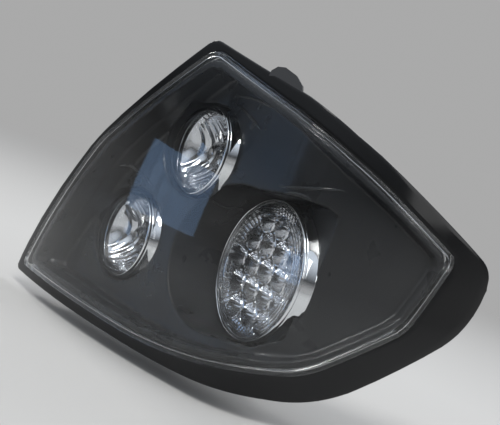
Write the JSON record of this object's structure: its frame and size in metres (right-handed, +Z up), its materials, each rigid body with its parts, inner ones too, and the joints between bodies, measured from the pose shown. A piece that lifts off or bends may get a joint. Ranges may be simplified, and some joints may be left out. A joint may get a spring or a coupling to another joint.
{
  "type": "tail light cluster",
  "caption": "Right-hand wrap-round tail light cluster: clear lens on a flanged black housing, satin black bezel, round chrome-ringed pods with bulbs and light-emitting diodes.",
  "frame": {"origin": "centre of the upper stud where it leaves its boss on the back of the housing", "axes": "+X outboard to the right of the car, +Y forward along the studs, +Z up"},
  "size_m": [0.301, 0.2837, 0.2543],
  "materials": {
    "housing_black": "moulded gloss black",
    "lens_clear": "clear moulded plastic",
    "sealant": "dull bead",
    "bezel_black": "satin charcoal",
    "chrome": "bright",
    "pod_clear": "clear moulded plastic",
    "reflector": "metallised",
    "bulb_glass": "clear glass on a metal base",
    "holder_black": "matt black",
    "seal_rubber": "matt brown",
    "board_green": "solder mask",
    "led_resin": "pale yellow resin",
    "header_ivory": "ivory",
    "zinc_steel": "zinc plated",
    "connector_black": "matt black",
    "tinned_brass": "tinned",
    "foam": "closed-cell foam",
    "vent_rubber": "matt"
  },
  "bodies": {
    "root": {"housing": "housing_black", "outer_lens": "lens_clear", "lens_sealant": "sealant", "bezel": "bezel_black", "upper_ring": "chrome", "lower_ring": "chrome", "stop_ring": "chrome", "upper_pod_lens": "pod_clear", "lower_pod_lens": "pod_clear", "stop_pod_lens": "pod_clear", "upper_reflector": "reflector", "lower_reflector": "reflector", "stop_reflector": "reflector", "upper_bulb": "bulb_glass", "lower_bulb": "bulb_glass", "upper_bulb_holder": "holder_black", "lower_bulb_holder": "holder_black", "upper_holder_seal": "seal_rubber", "lower_holder_seal": "seal_rubber", "led_board": "board_green", "leds": "led_resin", "board_connector": "header_ivory", "board_screws": "zinc_steel", "reflector_screws": "zinc_steel", "harness_connector": "connector_black", "connector_terminals": "tinned_brass", "stud_upper": "zinc_steel", "stud_lower": "zinc_steel", "stud_outer": "zinc_steel", "ball_stud": "zinc_steel", "body_gasket": "foam", "vent_caps": "vent_rubber"}
  },
  "joints": []
}
